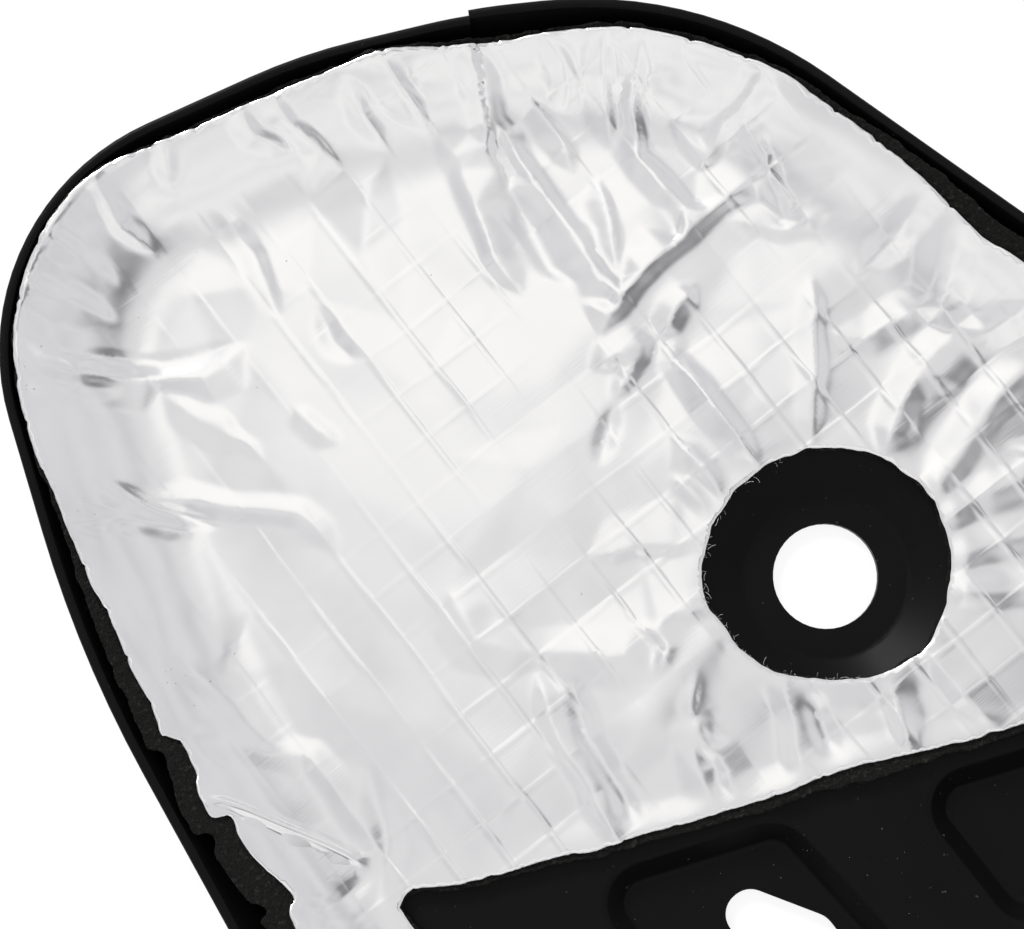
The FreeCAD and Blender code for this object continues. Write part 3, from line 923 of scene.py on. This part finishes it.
def foam_material(look):
    """Cut closed-cell rubber foam: near black and dull, with a painted highlight of paler specks that stand for cell
    walls catching the light.
    """
    material, tree, shader, place = new_material("cut_black_foam")
    cells = add(tree, "ShaderNodeTexVoronoi", {"Vector": place, "Scale": 1.0 / (0.55 * MM)})
    # Paler specks placed by noise: painted highlight of cell walls catching the light, not the foam's own colour
    speck = ranged(tree, noise(tree, place, 1.0 / (0.9 * MM), 3.0), 0.56, 0.72)
    feed(tree, shader, {
        "Base Color": mixed(tree, speck, look.foam_dark, look.foam_light),
        "Roughness": 0.9,
        "Specular IOR Level": 0.25,
        "Normal": bump(tree, cells.outputs["Distance"], 0.7, 0.0004),
    })
    return material


def plastic_material(look):
    """Injection-moulded black polypropylene: satin, with a fine moulding grain, faint flow marks and dust."""
    material, tree, shader, place = new_material("moulded_black_polypropylene")
    flow = noise(tree, place, 40.0, 4.0)
    fleck = ranged(tree, noise(tree, place, 900.0, 1.0), 0.76, 0.82, 0.0, 0.5)
    tint = mixed(tree, flow, look.plastic_dark, look.plastic_light)
    grain = noise(tree, place, 1.0 / (0.5 * MM), 2.0)
    feed(tree, shader, {
        "Base Color": mixed(tree, fleck, tint, linear("#5A5A58")),
        "Roughness": ranged(tree, flow, 0.3, 0.7, look.plastic_roughness - 0.05, look.plastic_roughness + 0.06),
        "Specular IOR Level": 0.09,
        "Normal": bump(tree, grain, 0.12, 0.0001),
    })
    return material


def colour(label, words, hexa):
    return bpy.props.FloatVectorProperty(
        name=label, description=words, subtype="COLOR", size=4, min=0.0, max=1.0, default=linear(hexa)
    )


def length(label, words, millimetres):
    return bpy.props.FloatProperty(
        name=label, description=words, subtype="DISTANCE", unit="LENGTH", min=0.0, default=millimetres * MM,
        precision=5,
    )


def share(label, words, value):
    return bpy.props.FloatProperty(name=label, description=words, subtype="FACTOR", min=0.0, max=2.0, default=value)


def strength(label, words, value):
    return bpy.props.FloatProperty(name=label, description=words, min=0.0, soft_max=100.0, default=value)


class ShieldFinish(bpy.types.PropertyGroup):
    """Colours and gloss of the three materials."""

    foil_light: colour("Foil light", "Clean foil", "#F6F6F7")
    foil_shade: colour("Foil shade", "Foil dulled by handling", "#E4E4E6")
    foil_roughness: share("Foil roughness", "Blur of the foil's reflections", 0.2)
    # Foam dark is the foam's own near-black; foam light is the painted highlight of its cell walls
    foam_dark: colour("Foam dark", "Inside of the foam's cells", "#0A0A09")
    foam_light: colour("Foam light", "Walls of the foam's cells", "#262521")
    plastic_dark: colour("Plastic dark", "Moulded plastic", "#070708")
    plastic_light: colour("Plastic light", "Flow marks of the plastic", "#0D0D0E")
    plastic_roughness: share("Plastic roughness", "Satin of the moulded face", 0.42)


class ShieldFoil(bpy.types.PropertyGroup):
    """Sizes of the foil's relief."""

    scrim_pitch: length("Scrim pitch", "Distance between two threads of the scrim", SCRIM_PITCH)
    scrim_thread: length("Scrim thread", "Half width of the ridge over a thread", 0.5)
    scrim_height: length("Scrim height", "Height of the ridge over a thread", 0.12)
    crease_gain: share("Crease gain", "Height of the creases against their listed height", 0.75)
    crumple_gain: share("Crumple gain", "Height of the loose facets between creases", 1.0)


class ShieldFoam(bpy.types.PropertyGroup):
    """Sizes of the cut foam."""

    cell: length("Cell", "Size of a cell of the foam", 1.1)
    cell_depth: length("Cell depth", "Depth of an opened cell", 0.45)


class ShieldLint(bpy.types.PropertyGroup):
    """Sizes of fibres and dust."""

    fibre_length: length("Fibre length", "Longest loose fibre", 1.6)
    fibre_thickness: length("Fibre thickness", "Radius of a fibre", 0.035)
    speck: length("Speck", "Radius of the largest grain of dust", 0.16)


class ShieldStage(bpy.types.PropertyGroup):
    """Studio light."""

    top_light: strength("Top light", "Brightness of the softbox overhead", 1.16)
    side_light: strength("Side light", "Brightness of the lamp beyond the rounded end", 48.0)
    room_light: strength("Room light", "Brightness of the rest of the studio", 0.74)
    dark_side: strength("Dark side", "Brightness of the studio's dark side", 0.12)


class SHIELD_OT_shell(bpy.types.Operator):
    """Give the moulded tray its plastic"""

    bl_idname = "shield.shell"
    bl_label = "Moulded tray"

    def execute(self, context):
        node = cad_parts["moulded_shell"]
        node.data.materials.clear()
        node.data.materials.append(plastic_material(context.scene.shield_finish))
        return {"FINISHED"}


class SHIELD_OT_foam(bpy.types.Operator):
    """Make the foam pad with its cut edge and opened cells"""

    bl_idname = "shield.foam"
    bl_label = "Foam pad"

    def execute(self, context):
        size = context.scene.shield_foam
        rng = np.random.default_rng(SEED)
        _, band, edge = foil_line(rng)
        reach = outward(edge) * band[:, None]
        outer = edge + sum(np.roll(reach, k, 0) for k in range(-7, 8)) / 15
        s = inset(outer)
        outer -= outward(edge) * np.clip(WALL + 0.5 - s, 0, None)[:, None]
        outer += outward(edge) * (0.3 * wander(len(edge), 4, rng) - 0.1)[:, None]
        loops = [outer, cutout_line(rng, -0.35)[::-1]]
        low, high = outer.min(0), outer.max(0)
        fine = clear_points(lattice(FOAM_FINE, low, high), loops, 0.35)
        limit = np.where(fine[:, 0] < -100, 9.0, 6.5)
        fine = fine[gaps(fine, near_tree(np.vstack(loops))) < limit]
        coarse = clear_points(lattice(FOAM_COARSE, low, high), loops, 9.5)
        xy, faces, rings = triangulated(loops, np.vstack([fine, coarse]))
        s = inset(xy)
        under = np.where(inside(xy, edge), smooth(0.8, 6.0, away(xy, edge[::3])), 0)
        under *= smooth(0.8, 6.0, away(xy, loops[1][::3]))
        top = pad_face(s, FOIL + 0.06 + 1.4 * under)
        back = clear_points(lattice(FOAM_COARSE, low, high), loops, 2.0)
        base_xy, base_faces, base_rings = triangulated(loops, back)
        base_s = inset(base_xy)
        bottom = np.minimum(tray_face(base_s, 0.08), pad_face(base_s, FOIL + 0.6))
        verts = [np.column_stack([xy, top])]
        polys = [faces]
        start = len(xy)
        base = start + (FOAM_ROWS - 1) * sum(len(ring) for ring in rings)
        for ring, base_ring in zip(rings, base_rings):
            above = ring
            n = len(ring)
            for k in range(1, FOAM_ROWS):
                t = k / FOAM_ROWS
                z = top[ring] * (1 - t) + bottom[base_ring] * t
                sway = outward(xy[ring]) * (0.35 * wander(n, 2.5, rng) * math.sin(math.pi * t))[:, None]
                verts.append(np.column_stack([xy[ring] + sway, z]))
                below = np.arange(start, start + n)
                start += n
                polys.append(wall(above, below))
                above = below
            polys.append(wall(above, base_ring + base))
        verts.append(np.column_stack([base_xy, bottom]))
        polys.append(base_faces[:, ::-1] + base)
        material = foam_material(context.scene.shield_finish)
        piece = mesh_piece("foam_pad_cut", np.vstack(verts) * MM, [f for p in polys for f in p], material)
        run_tree(piece, pore_tree(), {"Cell": size.cell, "Depth": size.cell_depth, "Finish": material})
        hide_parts("foam_pad")
        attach(piece, "root")
        return {"FINISHED"}


class SHIELD_OT_foil(bpy.types.Operator):
    """Make the creased foil facing with the relief of its scrim"""

    bl_idname = "shield.foil"
    bl_label = "Foil facing"

    def execute(self, context):
        size = context.scene.shield_foil
        rng = np.random.default_rng(SEED)
        edge, _, _ = foil_line(rng)
        s = inset(edge)
        edge -= outward(edge) * np.clip(WALL + 0.35 - s, 0, None)[:, None]
        loops = [edge, cutout_line(rng, 0.0)[::-1]]
        low, high = edge.min(0), edge.max(0)
        lines = crest_lines(rng)
        crests = clear_points(crest_points(lines), loops, 0.5)
        grid = clear_points(scrim_lattice(low, high), loops, 0.45)
        grid = grid[from_line(grid, pleat_line())[0] > PLEAT_CLEAR]
        grid = grid[gaps(grid, near_tree(crests)) > 0.38]
        xy, faces, rings = triangulated(loops, np.vstack([grid, crests]))
        s = inset(xy)
        base = pad_face(s, 0.0)
        field = foil_field(size, lines, rng)
        relief = foil_relief(field, xy, loops)
        material = foil_material(context.scene.shield_finish)
        piece = mesh_piece("foil_facing_creased", np.column_stack([xy, base]) * MM, faces, material)
        normals = np.zeros(len(xy) * 3)
        piece.data.vertices.foreach_get("normal", normals)
        placed = np.column_stack([xy, base]) + normals.reshape(-1, 3) * relief[:, None]
        placed[:, 2] = np.minimum(placed[:, 2], LIP + 0.2)
        piece.data.vertices.foreach_set("co", (placed * MM).ravel())
        piece.data.update()
        run_tree(
            piece, scrim_tree(),
            {"Pitch": size.scrim_pitch, "Thread": size.scrim_thread, "Height": size.scrim_height,
             "Offset": (SCRIM_AT[0] * MM, SCRIM_AT[1] * MM, 0.0), "Patch": 28.0, "Finish": material},
        )
        top = np.zeros(len(xy) * 3)
        piece.data.vertices.foreach_get("co", top)
        top = top.reshape(-1, 3)
        back = clear_points(lattice(FOIL_BACK, low, high), loops, 1.5)
        base_xy, base_faces, base_rings = triangulated(loops, back)
        base_s = inset(base_xy)
        bottom = pad_face(base_s, FOIL - 0.02) + foil_relief(field, base_xy, loops)
        verts = np.vstack([top, np.column_stack([base_xy, bottom]) * MM])
        polys = [faces, base_faces[:, ::-1] + len(top)]
        for ring, base_ring in zip(rings, base_rings):
            polys.append(wall(ring, base_ring + len(top)))
        bpy.data.objects.remove(piece)
        piece = mesh_piece("foil_facing_creased", verts, [f for p in polys for f in p], material)
        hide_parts("foil_facing")
        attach(piece, "root")
        return {"FINISHED"}


class SHIELD_OT_lint(bpy.types.Operator):
    """Scatter loose fibres along the cut-out and dust on the pad and the tray"""

    bl_idname = "shield.lint"
    bl_label = "Fibres and dust"

    def execute(self, context):
        size = context.scene.shield_lint
        rng = np.random.default_rng(SEED + 1)
        edge = closed_curve(CUTOUT, CUTOUT_SPACING)
        angle = np.degrees(np.arctan2(edge[:, 1], edge[:, 0]))
        torn = edge[(np.abs(angle) > 110) & (rng.random(len(edge)) < 0.5)]
        torn = np.vstack([torn, edge[(angle > 60) & (angle <= 110) & (rng.random(len(edge)) < 0.25)]])
        torn = torn * rng.uniform(0.97, 1.0, (len(torn), 1))
        white = lint_material("white_scrim_fibre", "#D8D8D6", "#A9A9A6")
        self.scatter("scrim_fibres", torn, np.full(len(torn), FLOOR + FOAM - 0.2), fibre_tree(),
                     {"Length": size.fibre_length, "Thickness": size.fibre_thickness, "Finish": white})
        xy = np.vstack([np.array(at) + rng.normal(0, wide / 2, (count, 2)) for at, wide, count in DUST_PATCHES])
        xy = xy[inset(xy) > 5]
        grey = lint_material("grey_road_dust", "#4A4A48", "#6E6E6B")
        self.scatter("pad_dust", xy, pad_face(inset(xy), 0.0) + 0.12, speck_tree(),
                     {"Size": size.speck, "Finish": grey})
        bare = rng.uniform((-100, -100), (70, -30), (70, 2))
        tray = BVHTree.FromObject(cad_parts["moulded_shell"], context.evaluated_depsgraph_get())
        found = []
        for x, y in bare:
            hit = tray.ray_cast(Vector((x * MM, y * MM, 0.05)), Vector((0, 0, -1)))[0]
            if hit is not None and y < -38 - 0.32 * x:
                found.append((x, y, hit.z / MM))
        found = np.array(found)
        pale = lint_material("pale_settled_dust", "#7A7A77", "#96968F")
        self.scatter("tray_dust", found[:, :2], found[:, 2] + 0.03, speck_tree(),
                     {"Size": 0.7 * size.speck, "Finish": pale})
        return {"FINISHED"}

    def scatter(self, name, xy, z, tree, values):
        piece = mesh_piece(name, np.column_stack([xy, z]) * MM, [], values["Finish"], False)
        run_tree(piece, tree, values)
        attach(piece, "root")


class SHIELD_OT_stage(bpy.types.Operator):
    """Set the floor, the studio light and the camera"""

    bl_idname = "shield.stage"
    bl_label = "Stage"

    def execute(self, context):
        scene = context.scene
        light = scene.shield_stage
        scene.view_settings.view_transform = "Standard"
        self.floor()
        self.studio(scene, light)
        self.camera(scene)
        return {"FINISHED"}

    def floor(self):
        """Pale paper under the part, white where it is seen."""
        z = SOLID_BOX[0].z - FLOOR_GAP
        corners = [(x * FLOOR_HALF, y * FLOOR_HALF, z) for x, y in ((-1, -1), (1, -1), (1, 1), (-1, 1))]
        material = bpy.data.materials.new("white_studio_paper")
        material.use_nodes = True
        tree = material.node_tree
        tree.nodes.clear()
        rays = add(tree, "ShaderNodeLightPath").outputs
        seen = calc(tree, "MAXIMUM", rays["Is Camera Ray"], rays["Is Glossy Ray"])
        seen = calc(tree, "MAXIMUM", seen, rays["Is Transmission Ray"])
        place = add(tree, "ShaderNodeTexCoord").outputs["Object"]
        tint = mixed(tree, noise(tree, place, 400.0, 2.0), linear("#EEEEEE"), linear("#FAFAFA"))
        paper = add(tree, "ShaderNodeBsdfDiffuse", {"Color": tint}).outputs[0]
        glow = add(tree, "ShaderNodeEmission", {"Color": (1, 1, 1, 1), "Strength": 1.03}).outputs[0]
        both = add(tree, "ShaderNodeMixShader", {0: calc(tree, "MULTIPLY", seen, 0.84), 1: paper, 2: glow})
        add(tree, "ShaderNodeOutputMaterial", {"Surface": both.outputs[0]})
        floor = mesh_piece("studio_floor", corners, [(0, 1, 2, 3)], material, False)

    def studio(self, scene, light):
        """A softbox overhead, a lamp beyond it, a pale room, a darker side and a white horizon."""
        world = bpy.data.worlds.new("studio")
        scene.world = world
        world.use_nodes = True
        tree = world.node_tree
        tree.nodes.clear()
        way = add(tree, "ShaderNodeTexCoord").outputs["Generated"]
        split = add(tree, "ShaderNodeSeparateXYZ", {0: way}).outputs
        high = calc(tree, "MAXIMUM", split[2], 0.02)
        lean = [calc(tree, "DIVIDE", split[k], high) for k in (0, 1)]

        def edge(axis, start, end):
            """Rises from nought to one between two leans from the vertical, in degrees."""
            ends = [math.tan(math.radians(angle)) for angle in (start, end)]
            return ranged(tree, lean[axis], *ends, ease="SMOOTHSTEP")

        def area(edges):
            """One inside all the edges, nought outside any of them."""
            total = edge(*edges[0])
            for row in edges[1:]:
                total = calc(tree, "MULTIPLY", total, edge(*row))
            return total

        def blend(below, part, value):
            feeds = {"Factor": part, "A": below, "B": value}
            return add(tree, "ShaderNodeMix", feeds, data_type="FLOAT").outputs["Result"]

        softbox = calc(tree, "MAXIMUM", area(NEAR_SOFTBOX), area(FAR_SOFTBOX))
        softbox = calc(tree, "MULTIPLY", softbox, edge(*SOFTBOX_END))
        dark = calc(tree, "MAXIMUM", area(DARK_SIDE), area(DEEP_SIDE))
        flat = add(tree, "ShaderNodeCombineXYZ", {"X": lean[0], "Y": lean[1]}).outputs[0]
        levels = (0.84 * light.room_light, 1.24 * light.room_light)
        room = ranged(tree, noise(tree, flat, 5.0, 1.0), 0.35, 0.65, *levels, "SMOOTHSTEP")
        pane = ranged(tree, noise(tree, flat, 7.0, 0.0), 0.36, 0.52, 0.7, 1.12, "SMOOTHSTEP")
        axis = Vector(LAMP_WAY).normalized()
        facing = add(tree, "ShaderNodeVectorMath", {0: way, 1: axis}, operation="DOT_PRODUCT").outputs["Value"]
        ends = [math.cos(math.radians(angle)) for angle in LAMP_EDGE]
        level = blend(room, dark, light.dark_side)
        level = blend(level, area(WINDOW), pane)
        level = blend(level, softbox, light.top_light)
        level = blend(level, ranged(tree, facing, *ends, ease="SMOOTHSTEP"), light.side_light)
        level = blend(level, ranged(tree, split[2], 0.16, 0.28, 1.0, 0.0, "SMOOTHSTEP"), 1.0)
        tint = mixed(tree, ranged(tree, level, 0.65, 1.1), linear("#FAF9FC"), linear("#FFFEFB"))
        glow = add(tree, "ShaderNodeBackground", {"Color": tint, "Strength": level})
        add(tree, "ShaderNodeOutputWorld", {"Surface": glow.outputs[0]})

    def camera(self, scene):
        """The photograph's camera, almost straight above the pad."""
        data = bpy.data.cameras.new("photo_camera")
        data.lens = LENS
        data.sensor_width = SENSOR
        data.clip_start = 0.01
        camera = bpy.data.objects.new("photo_camera", data)
        scene.collection.objects.link(camera)
        right = Vector((*IMAGE_RIGHT, 0.0))
        up = Vector((*IMAGE_UP, 0.0))
        down = Vector((0.0, 0.0, -1.0))
        look = up * math.sin(TILT) + down * math.cos(TILT)
        top = up * math.cos(TILT) - down * math.sin(TILT)
        turn = Matrix((right, top, -look)).transposed()
        camera.matrix_world = Matrix.Translation(Vector(CAMERA_AT) * MM) @ turn.to_4x4()
        scene.camera = camera


STEPS = (SHIELD_OT_shell, SHIELD_OT_foam, SHIELD_OT_foil, SHIELD_OT_lint, SHIELD_OT_stage)


class SHIELD_PT_panel(bpy.types.Panel):
    """Lists the pieces of the heat shield"""

    bl_idname = "SHIELD_PT_panel"
    bl_label = "Heat shield"
    bl_space_type = "VIEW_3D"
    bl_region_type = "UI"
    bl_category = "Heat shield"

    def draw(self, context):
        for step in STEPS:
            self.layout.operator(step.bl_idname)
        for group in GROUPS:
            settings = getattr(context.scene, group)
            box = self.layout.box()
            for name in settings.__annotations__:
                box.prop(settings, name)


GROUPS = {
    "shield_finish": ShieldFinish,
    "shield_foil": ShieldFoil,
    "shield_foam": ShieldFoam,
    "shield_lint": ShieldLint,
    "shield_stage": ShieldStage,
}


def register():
    for kind in (*GROUPS.values(), *STEPS, SHIELD_PT_panel):
        bpy.utils.register_class(kind)
    for name, kind in GROUPS.items():
        setattr(bpy.types.Scene, name, bpy.props.PointerProperty(type=kind))


def unregister():
    for name in GROUPS:
        delattr(bpy.types.Scene, name)
    for kind in (SHIELD_PT_panel, *reversed(STEPS), *GROUPS.values()):
        bpy.utils.unregister_class(kind)


def main():
    register()
    bpy.ops.shield.shell()
    bpy.ops.shield.foam()
    bpy.ops.shield.foil()
    bpy.ops.shield.lint()
    bpy.ops.shield.stage()


if __name__ == "__main__":
    main()
